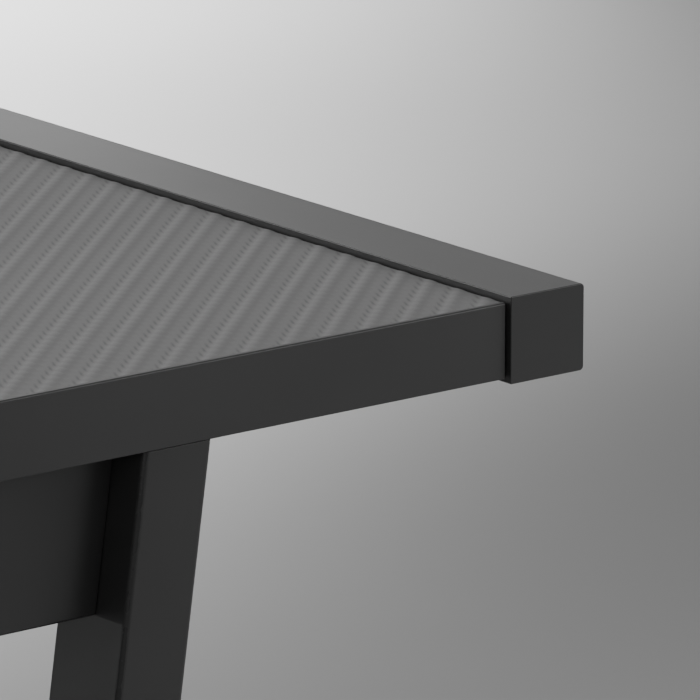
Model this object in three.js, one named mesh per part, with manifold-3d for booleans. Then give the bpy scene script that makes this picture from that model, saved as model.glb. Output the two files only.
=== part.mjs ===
// An L-shaped corner desk. Two wings with laminated, twill-embossed tops meet at a seam: the main
// wing lies along X with its front edge towards -Y, and the return wing comes forward from its left
// end. Each free end carries a steel rail. Three leg frames of slanted tube stand on levelling feet,
// and four beams bolt them together under the tops.
// Millimetres, +Z up, the floor at Z 0, the origin under the middle of the desk's outline.

import * as THREE from "three";
import { mergeVertices } from "three/addons/utils/BufferGeometryUtils.js";
import Module from "manifold-3d";

const wasm = await Module();
wasm.setup();

// Overall sizes
const deskWidth = 1400; // X, over the return rail's outer end and the right rail
const deskDepth = 1200; // Y, over the return rail and the rear end of the right rail
const topHeight = 750; // floor to the work surface
const mainDepth = 600; // the main top, front edge to rear edge
const returnWidth = 500; // the return top, outer edge to inner edge

// Tops
const topThickness = 30;
const skinThickness = 0.8;
const bandThickness = 2;
const bandEdgeRadius = 0.8;
const glueLine = 0.1;
const seamGap = 0.6;
const dowelCount = 3;
const dowelRadius = 4;
const dowelLength = 40;

// End rails
const railWidth = 36;
const railRise = 2.5; // stands above the work surface
const railDrop = 2; // hangs below the underside
const railOverhang = 1.9; // runs past each long edge
const railGap = 1.3; // to the end of the top
const railWall = 1.8;
const railOuterRadius = 3;
const railInnerRadius = 0.8;
const tabCount = 3;
const tabLength = 45;
const tabWidth = 30;
const tabThickness = 1.5;
const tabEndSpacing = 60; // edge of the top to the middle of the first tab
const tabScrewInset = 11; // tab's end to its first screw
const tabScrewPitch = 18;
const drainRadius = 3;
const drainInset = 20;

// Legs and cross tubes
const legWidth = 31; // across the slant, on the level
const legDepth = 43.5;
const legRadius = 2.5;
const legWall = 1.5;
const legLean = THREE.MathUtils.degToRad(8.3);
const legRecess = 0.5; // behind the edge of the top
const endOverhang = 137.7; // end of the top to the leg's outer face
const cornerOverhang = 16; // the same at the corner end
const crossWidth = 25;
const crossHeight = 25;
const crossRadius = 2;
const crossWall = 1.5;
const screwRadius = 2.25; // wood screws up into the tops
const screwAccessRadius = 5;
const crossScrewInset = 50;
const crossScrewCount = 3;

// Beams
const beamHeight = 65;
const beamThickness = 25;
const beamRadius = 1.5;
const beamWall = 1.5;
const beamEndPlate = 5;

// Bolts
const boltRadius = 4;
const boltExcess = 6; // past the end plate
const boltHeadRadius = 7;
const boltHeadHeight = 4.2;
const boltTipChamfer = 0.8;
const boltSocketRadius = 2.9;
const boltSocketDepth = 2.4;
const boltInset = 12; // beam's top or bottom to a bolt
const boltHeadSpace = 2; // cross tube to the head of the bolt below it

// Levelling feet
const footTravel = 12;
const padRadius = 15;
const padHeight = 8;
const padChamfer = 1.5;
const pinRadius = 3;
const pinLength = 4;
const hexAcrossFlats = 13;
const hexHeight = 5;
const studRadius = 4;
const studClearance = 0.08;
const stopGap = 0.5; // hex to plug, screwed right in
const plugFlange = 3;
const plugSpigot = 18;

// Clearance between pieces that seat on each other or pass through each other
const fitGap = 0.3;

// Fineness of round shapes
const cornerSteps = 1;
const boltSides = 12;
const screwSides = 8;
const domeSteps = 3;
const padSides = 24;
const studSides = 16;

// Positions that follow from the sizes
const underside = topHeight - topThickness;
const mainEndX = deskWidth / 2 - railWidth - railGap;
const leftEdgeX = railOverhang - deskWidth / 2;
const mainLength = mainEndX - leftEdgeX;
const mainFrontY = deskDepth / 2 - railOverhang - mainDepth;
const returnEndY = -deskDepth / 2 + railWidth + railGap;
const returnLength = mainFrontY - seamGap - returnEndY;
const boardThickness = topThickness - skinThickness - glueLine;
const legSlope = Math.tan(legLean);
const legAcross = legWidth * Math.cos(legLean);
const legBottom = padHeight + hexHeight + stopGap + plugFlange + fitGap;
const legLength = underside - legBottom;
const studLength = stopGap + plugFlange + plugSpigot + footTravel; // flush when screwed right out
const beamSetback = legRecess + legDepth - beamThickness; // flush with the legs' backs
const beamMiddle = beamSetback + beamThickness / 2;

// Bolt heights from the underside of the tops
const boltUpper = -fitGap - boltInset;
const boltLower = -fitGap - beamHeight + boltInset;
const boltMiddle = -fitGap - crossHeight - boltHeadSpace - boltHeadRadius;

const finishes = {
  steel: { color: 0x2c2d2f, roughness: 0.48, metalness: 0.1 },
  edge: { color: 0x2e2f31, roughness: 0.5, metalness: 0 },
  twill: { color: 0x36373a, roughness: 0.55, metalness: 0 },
  board: { color: 0x242426, roughness: 0.8, metalness: 0 },
  dowel: { color: 0xc7a06b, roughness: 0.75, metalness: 0 },
  bolt: { color: 0x1d1e20, roughness: 0.4, metalness: 0.6 },
  zinc: { color: 0xa9abad, roughness: 0.35, metalness: 0.9 },
  plastic: { color: 0x1f2022, roughness: 0.55, metalness: 0 },
  rubber: { color: 0x17181a, roughness: 0.85, metalness: 0 },
};

// Solids ------------------------------------------------------------------------------------------

// A closed three.js geometry as a solid that can be joined and cut.
function solidOf(geometry) {
  geometry.deleteAttribute("normal");
  geometry.deleteAttribute("uv");
  const merged = mergeVertices(geometry);
  return new wasm.Manifold(
    new wasm.Mesh({
      numProp: 3,
      vertProperties: merged.attributes.position.array,
      triVerts: new Uint32Array(merged.index.array),
    }),
  );
}

// A solid as a three.js geometry.
function geometryOf(solid) {
  const { vertProperties, triVerts } = solid.getMesh();
  const geometry = new THREE.BufferGeometry();
  geometry.setAttribute("position", new THREE.BufferAttribute(vertProperties, 3));
  geometry.setIndex(new THREE.BufferAttribute(triVerts, 1));
  return geometry;
}

// A named mesh with a material of its own, at a place in its group.
function addMesh(group, name, geometry, finish, position = new THREE.Vector3()) {
  const mesh = new THREE.Mesh(geometry, new THREE.MeshStandardMaterial(finishes[finish]));
  mesh.name = name;
  mesh.position.copy(position);
  group.add(mesh);
  return mesh;
}

// A rectangle whose corners are rounded, as [lower left, lower right, upper right, upper left].
function roundedRectangle(x0, x1, y0, y1, radii) {
  const [lowerLeft, lowerRight, upperRight, upperLeft] = radii;
  const shape = new THREE.Shape();
  const corner = (x, y, radius, turn) => {
    if (radius > 0) shape.absarc(x, y, radius, turn, turn + Math.PI / 2, false);
    else shape.lineTo(x, y);
  };
  shape.moveTo(x0 + lowerLeft, y0);
  corner(x1 - lowerRight, y0 + lowerRight, lowerRight, -Math.PI / 2);
  corner(x1 - upperRight, y1 - upperRight, upperRight, 0);
  corner(x0 + upperLeft, y1 - upperLeft, upperLeft, Math.PI / 2);
  corner(x0 + lowerLeft, y0 + lowerLeft, lowerLeft, Math.PI);
  return shape;
}

function evenRectangle(width, height, radius) {
  return roundedRectangle(-width / 2, width / 2, -height / 2, height / 2, Array(4).fill(radius));
}

function extruded(shape, depth) {
  return new THREE.ExtrudeGeometry(shape, {
    depth,
    bevelEnabled: false,
    curveSegments: cornerSteps,
  });
}

// A section drawn in Y and Z, extruded along X.
function alongX(shape, from, to) {
  const turn = new THREE.Matrix4().makeBasis(
    new THREE.Vector3(0, 1, 0),
    new THREE.Vector3(0, 0, 1),
    new THREE.Vector3(1, 0, 0),
  );
  return extruded(shape, to - from).applyMatrix4(turn).translate(from, 0, 0);
}

// A section drawn in X and Z, extruded along Y.
function alongY(shape, from, to) {
  return extruded(shape, to - from)
    .rotateX(Math.PI / 2)
    .translate(0, to, 0);
}

function box(x0, x1, y0, y1, z0, z1) {
  return new THREE.BoxGeometry(x1 - x0, y1 - y0, z1 - z0).translate(
    (x0 + x1) / 2,
    (y0 + y1) / 2,
    (z0 + z1) / 2,
  );
}

// A straight round rod between two points.
function rod(from, to, radius, sides = boltSides) {
  const span = new THREE.Vector3().subVectors(to, from);
  const turn = new THREE.Quaternion().setFromUnitVectors(
    new THREE.Vector3(0, 1, 0),
    span.clone().normalize(),
  );
  return new THREE.CylinderGeometry(radius, radius, span.length(), sides)
    .applyQuaternion(turn)
    .translate(...from.clone().add(to).multiplyScalar(0.5));
}

function verticalRod(x, y, z0, z1, radius, sides = boltSides) {
  return rod(new THREE.Vector3(x, y, z0), new THREE.Vector3(x, y, z1), radius, sides);
}

// Cuts every geometry in a list out of a solid.
function cut(solid, cutters) {
  return cutters.reduce((rest, cutter) => rest.subtract(solidOf(cutter)), solid);
}

// Places spread evenly between two ends, both ends included.
function spread(from, to, count) {
  return Array.from({ length: count }, (_, i) => from + ((to - from) * i) / (count - 1));
}

// Bolted joints -----------------------------------------------------------------------------------

// A bolt that enters a beam's end plate at a point of the joint face. `outward` points from the
// beam to the bolt's head, and `grip` is what the bolt passes through on that side.
function boltRun(name, point, outward, grip) {
  return {
    name,
    seat: point.clone().addScaledVector(outward, grip + fitGap),
    tip: point.clone().addScaledVector(outward, -fitGap - beamEndPlate - boltExcess),
    outward,
  };
}

// The hole that lets a bolt through, as seen from a piece whose own origin is `origin`.
function boltHole(run, origin = new THREE.Vector3()) {
  const past = run.outward.clone().multiplyScalar(2 * fitGap);
  return rod(run.seat.clone().add(past), run.tip.clone().sub(past), boltRadius + fitGap).translate(
    ...origin.clone().negate(),
  );
}

// A button-head bolt with a hexagon socket: its seat at Z 0, its head above.
function boltGeometry(length) {
  const profile = [
    new THREE.Vector2(0, -length),
    new THREE.Vector2(boltRadius - boltTipChamfer, -length),
    new THREE.Vector2(boltRadius, boltTipChamfer - length),
    new THREE.Vector2(boltRadius, 0),
  ];
  for (let i = 0; i <= domeSteps; i++) {
    const turn = (Math.PI / 2) * (i / domeSteps);
    profile.push(new THREE.Vector2(boltHeadRadius * Math.cos(turn), boltHeadHeight * Math.sin(turn)));
  }
  profile[profile.length - 1].x = 0;
  const body = new THREE.LatheGeometry(profile, boltSides).rotateX(Math.PI / 2);
  const socketFloor = boltHeadHeight - boltSocketDepth;
  const socket = verticalRod(0, 0, socketFloor, boltHeadHeight + fitGap, boltSocketRadius, 6);
  return geometryOf(cut(solidOf(body), [socket]));
}

function addBolt(group, run) {
  const length = run.seat.distanceTo(run.tip);
  const bolt = addMesh(group, run.name, boltGeometry(length), "bolt", run.seat);
  bolt.quaternion.setFromUnitVectors(new THREE.Vector3(0, 0, 1), run.outward);
}

// Tops --------------------------------------------------------------------------------------------
// Each wing is built in its own frame: X 0 at the free end of its top with +X pointing outwards,
// Y 0 at its first long edge, Z 0 at its underside.

// The laminated top: a board with the textured skin on it and bands along its edges.
function addTop(wing, { name, length, width, edgeNames, endBand, boardCutters, edgeCutters }) {
  const bandDepth = bandThickness + glueLine;
  const farX = -length + (endBand ? bandDepth : 0);
  const boardZ = boardThickness;
  const board = solidOf(box(farX, 0, bandDepth, width - bandDepth, 0, boardZ));
  addMesh(wing, `${name}_board`, geometryOf(cut(board, boardCutters)), "board");
  const skin = box(farX, 0, bandDepth, width - bandDepth, boardZ + glueLine, topThickness);
  addMesh(wing, `${name}_twill_skin`, skin, "twill");

  const outer = bandEdgeRadius;
  const firstSection = roundedRectangle(0, bandThickness, 0, topThickness, [outer, 0, 0, outer]);
  const firstBand = cut(solidOf(alongX(firstSection, -length, 0)), edgeCutters);
  addMesh(wing, `${name}_${edgeNames[0]}_edge_band`, geometryOf(firstBand), "edge");

  const secondSection = roundedRectangle(-bandThickness, 0, 0, topThickness, [0, outer, outer, 0]);
  const secondBand = alongX(secondSection, -length, 0);
  const secondPlace = new THREE.Vector3(0, width, 0);
  addMesh(wing, `${name}_${edgeNames[1]}_edge_band`, secondBand, "edge", secondPlace);

  if (endBand) {
    const endPiece = alongY(firstSection, bandDepth, width - bandDepth);
    const endPlace = new THREE.Vector3(-length, 0, 0);
    addMesh(wing, `${name}_${endBand}_edge_band`, endPiece, "edge", endPlace);
  }
}

// The rail on a wing's free end: a closed steel box section with drain holes below and welded tabs
// that reach under the board and take its screws.
function addRail(wing, name, width) {
  const near = -railOverhang;
  const far = width + railOverhang;
  const top = topThickness + railRise;
  const [small, large] = [railInnerRadius, railOuterRadius];
  const outerSection = roundedRectangle(0, railWidth, -railDrop, top, [small, large, large, small]);
  const hollowRadius = Math.max(railOuterRadius - railWall, 0);
  const hollowSection = roundedRectangle(
    railWall,
    railWidth - railWall,
    railWall - railDrop,
    top - railWall,
    [0, hollowRadius, hollowRadius, 0],
  );
  const hollow = alongY(hollowSection, near + railWall, far - railWall);
  const drains = [near + drainInset, far - drainInset].map((y) =>
    verticalRod(railWidth / 2, y, -railDrop - fitGap, railWall, drainRadius),
  );

  let rail = solidOf(alongY(outerSection, near, far));
  const tabPlaces = spread(tabEndSpacing, width - tabEndSpacing, tabCount);
  for (const y of tabPlaces) {
    const [y0, y1] = [y - tabWidth / 2, y + tabWidth / 2];
    const tab = box(-tabLength, railWall, y0, y1, -fitGap - tabThickness, -fitGap);
    rail = rail.add(solidOf(tab));
  }
  const firstScrewX = tabScrewInset - tabLength;
  const tabHoles = tabPlaces.flatMap((y) =>
    [firstScrewX, firstScrewX + tabScrewPitch].map((x) =>
      verticalRod(x, y, -fitGap - 2 * tabThickness, 0, screwRadius, screwSides),
    ),
  );
  rail = cut(rail, [hollow, ...drains, ...tabHoles]);
  addMesh(wing, name, geometryOf(rail), "steel", new THREE.Vector3(railGap, 0, 0));
}

// Leg frames --------------------------------------------------------------------------------------
// `lean` is 1 where the frame's outer side looks along +X of its wing, and -1 where it looks along
// -X. A leg's foot always lies inwards of its head.

// Slides the layers of a geometry along X, so that its foot lies inwards of its head.
function slanted(geometry, lean) {
  return geometry.applyMatrix4(new THREE.Matrix4().makeShear(0, 0, 0, 0, lean * legSlope, 0));
}

// A foot: the plug in the leg's open end, the stud that screws up through it and the stud's pad.
function addFoot(wing, place, legName, lean) {
  const foot = new THREE.Group();
  foot.position.copy(place);
  wing.add(foot);

  const flange = solidOf(extruded(evenRectangle(legWidth, legDepth, legRadius), plugFlange));
  const plugWidth = legWidth - 2 * (legWall / Math.cos(legLean) + fitGap);
  const plugDepth = legDepth - 2 * (legWall + fitGap);
  const spigot = slanted(
    extruded(evenRectangle(plugWidth, plugDepth, legRadius - legWall), plugSpigot),
    lean,
  ).translate(0, 0, plugFlange);
  const top = plugFlange + plugSpigot;
  const bore = verticalRod(0, 0, -fitGap, top + fitGap, studRadius + studClearance, studSides);
  const plug = cut(flange.add(solidOf(spigot)), [bore]);
  const plugPlace = new THREE.Vector3(0, 0, -fitGap - plugFlange);
  addMesh(foot, `${legName}_plug`, geometryOf(plug), "plastic", plugPlace);

  const studPlace = plugPlace.clone().add(new THREE.Vector3(0, 0, -stopGap - hexHeight));
  const hexRadius = hexAcrossFlats / 2 / Math.cos(Math.PI / 6);
  const hex = solidOf(verticalRod(0, 0, 0, hexHeight, hexRadius, 6));
  const thread = verticalRod(0, 0, 0, hexHeight + studLength, studRadius, studSides);
  const pin = verticalRod(0, 0, -pinLength, hexHeight, pinRadius, studSides);
  const stud = hex.add(solidOf(thread)).add(solidOf(pin));
  addMesh(foot, `${legName}_stud`, geometryOf(stud), "zinc", studPlace);

  const padTop = padHeight - fitGap;
  const padProfile = [
    new THREE.Vector2(0, 0),
    new THREE.Vector2(padRadius - padChamfer, 0),
    new THREE.Vector2(padRadius, padChamfer),
    new THREE.Vector2(padRadius, padTop - padChamfer),
    new THREE.Vector2(padRadius - padChamfer, padTop),
    new THREE.Vector2(0, padTop),
  ];
  const socketFloor = padHeight - pinLength - fitGap;
  const socket = verticalRod(0, 0, socketFloor, padHeight, pinRadius + fitGap, studSides);
  const pad = solidOf(new THREE.LatheGeometry(padProfile, padSides).rotateX(Math.PI / 2));
  const padPlace = studPlace.clone().add(new THREE.Vector3(0, 0, -padHeight));
  addMesh(foot, `${legName}_pad`, geometryOf(cut(pad, [socket])), "rubber", padPlace);
}

// A leg: a rectangular tube cut level at both ends, with its foot.
function addLeg(wing, name, x, y, lean, bolts) {
  const place = new THREE.Vector3(x, y, 0);
  const section = evenRectangle(legWidth, legDepth, legRadius);
  const wallAcross = legWall / Math.cos(legLean);
  section.holes.push(
    evenRectangle(legWidth - 2 * wallAcross, legDepth - 2 * legWall, legRadius - legWall),
  );
  const tube = slanted(extruded(section, legLength - fitGap).translate(0, 0, -legLength), lean);
  const holes = bolts.map((run) => boltHole(run, place));
  addMesh(wing, `${name}_leg`, geometryOf(cut(solidOf(tube), holes)), "steel", place);

  const footPlace = new THREE.Vector3(x - lean * legSlope * legLength, y, -legLength);
  addFoot(wing, footPlace, name, lean);
}

// The tube that joins a pair of legs under the top, with holes for screws up into the board.
function addCrossTube(wing, name, x, width, lean) {
  const near = legRecess + legDepth + fitGap;
  const far = width - near;
  const middleZ = -fitGap - crossHeight / 2;
  const section = evenRectangle(crossWidth, crossHeight, crossRadius);
  section.holes.push(
    evenRectangle(crossWidth - 2 * crossWall, crossHeight - 2 * crossWall, crossRadius - crossWall),
  );
  const half = crossHeight / 2 + fitGap;
  const holes = spread(near + crossScrewInset, far - crossScrewInset, crossScrewCount).flatMap(
    (y) => [
      verticalRod(0, y, 0, half, screwRadius, screwSides),
      verticalRod(0, y, -half, 0, screwAccessRadius, boltSides),
    ],
  );
  const tube = cut(solidOf(alongY(section, near, far)), holes);
  const place = new THREE.Vector3(x + lean * legSlope * middleZ, 0, middleZ);
  addMesh(wing, name, geometryOf(tube), "steel", place);
}

// A pair of legs with its cross tube. `faceX` is where the legs' outer faces meet the underside,
// and `legs` names them from the wing's first long edge to its second, with any bolts of their own.
function addLegFrame(wing, { name, faceX, lean, width, legs }) {
  const x = faceX - (lean * legWidth) / 2;
  const firstY = legRecess + legDepth / 2;
  [firstY, width - firstY].forEach((y, i) =>
    addLeg(wing, legs[i].name, x, y, lean, legs[i].bolts),
  );
  addCrossTube(wing, `${name}_cross_tube`, x, width, lean);
}

// The two bolts that go through a leg, square to its slanted side, into a beam's end plate.
function legBolts(name, faceX, y, lean) {
  const outward = new THREE.Vector3(lean, 0, -legSlope).normalize();
  return [
    ["upper", boltUpper],
    ["lower", boltLower],
  ].map(([level, z]) => {
    const joint = new THREE.Vector3(faceX - lean * legWidth + lean * legSlope * z, y, z);
    return boltRun(`${name}_bolt_${level}`, joint, outward, legAcross);
  });
}

// Beams -------------------------------------------------------------------------------------------

// A beam: a closed box section along X whose ends follow the slant of what they meet. Each end is
// { x, slope }: its place at the underside, and how far it moves along X for each millimetre down.
function addBeam(wing, name, near, far, y, bolts) {
  const top = -fitGap;
  const bottom = top - beamHeight;
  const section = evenRectangle(beamThickness, beamHeight, beamRadius);
  const hollowSection = evenRectangle(
    beamThickness - 2 * beamWall,
    beamHeight - 2 * beamWall,
    0,
  );
  const margin = beamHeight;
  const bar = (shape) =>
    solidOf(alongX(shape, far.x - margin, near.x + margin).translate(0, y, (top + bottom) / 2));
  const trim = (inset) => {
    const outline = new THREE.Shape([
      new THREE.Vector2(far.x + inset, 0),
      new THREE.Vector2(far.x + inset - far.slope * 2 * bottom, 2 * bottom),
      new THREE.Vector2(near.x - inset - near.slope * 2 * bottom, 2 * bottom),
      new THREE.Vector2(near.x - inset, 0),
    ]);
    return solidOf(alongY(outline, y - beamThickness, y + beamThickness));
  };
  const outside = bar(section).intersect(trim(0));
  const inside = bar(hollowSection).intersect(trim(beamEndPlate));
  const holes = bolts.map((run) => boltHole(run));
  addMesh(wing, name, geometryOf(cut(outside.subtract(inside), holes)), "steel");
}

// Wings -------------------------------------------------------------------------------------------

const desk = new THREE.Group();

const mainWing = new THREE.Group();
mainWing.position.set(mainEndX, mainFrontY, underside);
desk.add(mainWing);

const returnWing = new THREE.Group();
returnWing.position.set(leftEdgeX, returnEndY, underside);
returnWing.rotation.z = -Math.PI / 2;
desk.add(returnWing);

// Dowels across the seam between the two tops.
const dowelZ = boardThickness / 2;
const dowelOffsets = spread(0, returnWidth, dowelCount + 2).slice(1, -1);
const dowelBoreHalf = dowelLength / 2 + fitGap;
const seamY = -seamGap / 2; // the middle of the seam in the main wing's frame
const seamX = -returnLength - seamGap / 2; // the same in the return wing's frame
const mainDowelBores = dowelOffsets.map((offset) => {
  const x = offset - mainLength;
  const from = new THREE.Vector3(x, seamY - dowelBoreHalf, dowelZ);
  return rod(from, new THREE.Vector3(x, seamY + dowelBoreHalf, dowelZ), dowelRadius + fitGap);
});
const returnDowelBores = dowelOffsets.map((offset) => {
  const from = new THREE.Vector3(seamX - dowelBoreHalf, offset, dowelZ);
  const to = new THREE.Vector3(seamX + dowelBoreHalf, offset, dowelZ);
  return rod(from, to, dowelRadius + fitGap);
});
dowelOffsets.forEach((offset, i) => {
  const place = new THREE.Vector3(offset - mainLength, seamY, dowelZ);
  const end = new THREE.Vector3(0, dowelLength / 2, 0);
  const dowel = rod(end.clone().negate(), end, dowelRadius);
  addMesh(mainWing, `seam_dowel_${i + 1}`, dowel, "dowel", place);
});

addTop(mainWing, {
  name: "main",
  length: mainLength,
  width: mainDepth,
  edgeNames: ["front", "rear"],
  endBand: "left",
  boardCutters: mainDowelBores,
  edgeCutters: mainDowelBores,
});
addTop(returnWing, {
  name: "return",
  length: returnLength,
  width: returnWidth,
  edgeNames: ["outer", "inner"],
  endBand: null,
  boardCutters: returnDowelBores,
  edgeCutters: [],
});
addRail(mainWing, "right_end_rail", mainDepth);
addRail(returnWing, "return_end_rail", returnWidth);

// Bolts through the legs into the beams' ends. The corner frame's outer side looks along -X.
const cornerFaceX = -mainLength + cornerOverhang;
const mainFarY = mainDepth - beamMiddle;
const returnFarY = returnWidth - beamMiddle;
const rightFrontBolts = legBolts("right_front", -endOverhang, beamMiddle, 1);
const rightRearBolts = legBolts("right_rear", -endOverhang, mainFarY, 1);
const cornerFrontBolts = legBolts("corner_front", cornerFaceX, beamMiddle, -1);
const cornerRearBolts = legBolts("corner_rear", cornerFaceX, mainFarY, -1);
const returnOuterBolts = legBolts("return_outer", -endOverhang, beamMiddle, 1);
const returnInnerBolts = legBolts("return_inner", -endOverhang, returnFarY, 1);

// Bolts from the main wing into the rear ends of the return wing's beams. The same bolts are stated
// in the frame of each wing that they pass through.
function seamBolt(name, offset, z, faceDepth, grip) {
  const inMain = new THREE.Vector3(offset - mainLength, faceDepth, z);
  const inReturn = new THREE.Vector3(-returnLength - seamGap - faceDepth, offset, z);
  return {
    main: boltRun(name, inMain, new THREE.Vector3(0, 1, 0), grip),
    back: boltRun(name, inReturn, new THREE.Vector3(-1, 0, 0), grip),
  };
}
const seamOuterBolts = [seamBolt("seam_outer_bolt", beamMiddle, boltMiddle, legRecess, legDepth)];
const seamInnerBolts = [
  ["upper", boltUpper],
  ["lower", boltLower],
].map(([level, z]) =>
  seamBolt(`seam_inner_bolt_${level}`, returnFarY, z, beamSetback, beamThickness),
);
const seamOuterInMain = seamOuterBolts.map((bolt) => bolt.main);
const seamInnerInMain = seamInnerBolts.map((bolt) => bolt.main);

addLegFrame(mainWing, {
  name: "right",
  faceX: -endOverhang,
  lean: 1,
  width: mainDepth,
  legs: [
    { name: "right_front", bolts: rightFrontBolts },
    { name: "right_rear", bolts: rightRearBolts },
  ],
});
addLegFrame(mainWing, {
  name: "corner",
  faceX: cornerFaceX,
  lean: -1,
  width: mainDepth,
  legs: [
    { name: "corner_front", bolts: [...cornerFrontBolts, ...seamOuterInMain] },
    { name: "corner_rear", bolts: cornerRearBolts },
  ],
});
addLegFrame(returnWing, {
  name: "return",
  faceX: -endOverhang,
  lean: 1,
  width: returnWidth,
  legs: [
    { name: "return_outer", bolts: returnOuterBolts },
    { name: "return_inner", bolts: returnInnerBolts },
  ],
});

// Beam ends: against a slanted leg of the same wing, or square against the other wing.
const nearEnd = { x: -endOverhang - legWidth - fitGap, slope: -legSlope };
const cornerEnd = { x: cornerFaceX + legWidth + fitGap, slope: legSlope };
const squareEnd = (faceDepth) => ({ x: -returnLength - seamGap - faceDepth + fitGap, slope: 0 });
addBeam(mainWing, "main_front_beam", nearEnd, cornerEnd, beamMiddle, [
  ...rightFrontBolts,
  ...cornerFrontBolts,
  ...seamInnerInMain,
]);
addBeam(mainWing, "main_rear_beam", nearEnd, cornerEnd, mainFarY, [
  ...rightRearBolts,
  ...cornerRearBolts,
]);
addBeam(returnWing, "return_outer_beam", nearEnd, squareEnd(legRecess), beamMiddle, [
  ...returnOuterBolts,
  ...seamOuterBolts.map((bolt) => bolt.back),
]);
addBeam(returnWing, "return_inner_beam", nearEnd, squareEnd(beamSetback), returnFarY, [
  ...returnInnerBolts,
  ...seamInnerBolts.map((bolt) => bolt.back),
]);

for (const run of [
  ...rightFrontBolts,
  ...rightRearBolts,
  ...cornerFrontBolts,
  ...cornerRearBolts,
  ...seamOuterInMain,
  ...seamInnerInMain,
]) {
  addBolt(mainWing, run);
}
for (const run of [...returnOuterBolts, ...returnInnerBolts]) {
  addBolt(returnWing, run);
}

export default desk;
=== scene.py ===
"""The looks of an L-shaped corner desk, made around its fixed CAD frame.

Every visible piece of the desk is made here as a fine mesh, or kept from the frame with a better
finish. Metres throughout, +Z up. Each wing has its own frame: X 0 at the free end of its top with
+X pointing outwards, Y 0 at its first long edge, and Z 0 at the underside of its top.
"""

import math

import bmesh
import bpy
from bpy.props import FloatProperty, FloatVectorProperty, IntProperty, PointerProperty
from mathutils import Matrix, Vector


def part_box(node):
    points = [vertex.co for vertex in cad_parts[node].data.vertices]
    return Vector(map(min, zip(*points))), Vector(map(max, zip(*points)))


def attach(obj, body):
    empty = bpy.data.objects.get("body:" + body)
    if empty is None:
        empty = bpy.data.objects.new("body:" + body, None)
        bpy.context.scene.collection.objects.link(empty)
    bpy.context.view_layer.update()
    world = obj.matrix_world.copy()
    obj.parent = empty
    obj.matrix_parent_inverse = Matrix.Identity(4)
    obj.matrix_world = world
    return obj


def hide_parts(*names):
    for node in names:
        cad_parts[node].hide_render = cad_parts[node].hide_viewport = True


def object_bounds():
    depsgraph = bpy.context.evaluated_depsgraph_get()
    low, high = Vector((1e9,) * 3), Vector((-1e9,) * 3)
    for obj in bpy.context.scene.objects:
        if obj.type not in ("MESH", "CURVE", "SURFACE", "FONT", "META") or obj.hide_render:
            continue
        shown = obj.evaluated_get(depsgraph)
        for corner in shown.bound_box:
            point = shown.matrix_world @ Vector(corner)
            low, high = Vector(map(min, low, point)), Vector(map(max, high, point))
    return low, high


bl_info = {
    "name": "Corner desk",
    "version": (1, 0, 0),
    "blender": (4, 5, 0),
    "location": "View3D > Sidebar > Desk",
    "description": "Makes the visible pieces of an L-shaped desk around its CAD frame",
    "category": "Add Mesh",
}

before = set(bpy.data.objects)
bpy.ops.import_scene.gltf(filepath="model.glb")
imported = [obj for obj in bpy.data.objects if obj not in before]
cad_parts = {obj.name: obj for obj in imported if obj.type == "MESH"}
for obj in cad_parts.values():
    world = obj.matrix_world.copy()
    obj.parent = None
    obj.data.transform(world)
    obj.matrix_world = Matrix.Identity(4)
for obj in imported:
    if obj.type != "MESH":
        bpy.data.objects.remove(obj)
cad_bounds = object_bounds()

MM = 0.001
LEAST_RADIUS = 0.00005  # no corner is sharper than this
CORNER_STEPS = 7
END_STEPS = 4
ROUND_SIDES = 48
HOLE_SIDES = 32
SMOOTH_ANGLE = math.radians(32)
DUST_COLOUR = (0.32, 0.31, 0.3, 1.0)


# --- Frames of the two wings ---


class Wing:
    """One wing's own frame, placed in the desk."""

    def __init__(self, origin, turn):
        self.matrix = Matrix.Translation(origin) @ Matrix.Rotation(turn, 4, "Z")

    def box(self, node):
        """The lowest and highest corner of a CAD node in this wing's frame."""
        back = self.matrix.inverted()
        first, second = [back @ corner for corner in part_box(node)]
        return Vector(map(min, first, second)), Vector(map(max, first, second))


def wing_frames():
    """The main wing's and the return wing's frames, from the edge bands of their tops."""
    front_low, front_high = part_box("main_front_edge_band")
    outer_low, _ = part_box("return_outer_edge_band")
    main = Wing(Vector((front_high.x, front_low.y, front_low.z)), 0.0)
    back = Wing(Vector((outer_low.x, outer_low.y, front_low.z)), -math.pi / 2)
    return main, back


MAIN, RETURN = wing_frames()

# The name, wing, lean and legs of each leg frame. Lean is 1 where its outer side looks along +X.
LEG_FRAMES = (
    ("right", MAIN, 1, ("right_front", "right_rear")),
    ("corner", MAIN, -1, ("corner_front", "corner_rear")),
    ("return", RETURN, 1, ("return_outer", "return_inner")),
)
LEGS = {leg: (wing, lean) for _, wing, lean, legs in LEG_FRAMES for leg in legs}

# Beams, with their wing and whether the far end is slanted against a leg too.
BEAMS = {
    "main_front_beam": (MAIN, True),
    "main_rear_beam": (MAIN, True),
    "return_outer_beam": (RETURN, False),
    "return_inner_beam": (RETURN, False),
}
# Edge bands, with their wing, the axis they run along and which side of them looks outwards.
EDGE_BANDS = {
    "main_front_edge_band": (MAIN, "X", "low"),
    "main_rear_edge_band": (MAIN, "X", "high"),
    "main_left_edge_band": (MAIN, "Y", "low"),
    "return_outer_edge_band": (RETURN, "X", "low"),
    "return_inner_edge_band": (RETURN, "X", "high"),
}
END_RAILS = {"right_end_rail": MAIN, "return_end_rail": RETURN}
TWILL_SKINS = {"main_twill_skin": MAIN, "return_twill_skin": RETURN}


# --- Sizes and colours that a user may change ---


def length(description, millimetres):
    return FloatProperty(
        description=description, default=millimetres * MM, min=0, unit="LENGTH", precision=5
    )


def grey(level):
    return (level, level, level)


def tint(description, default):
    return FloatVectorProperty(
        description=description, default=default, min=0, max=1, subtype="COLOR"
    )


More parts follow.
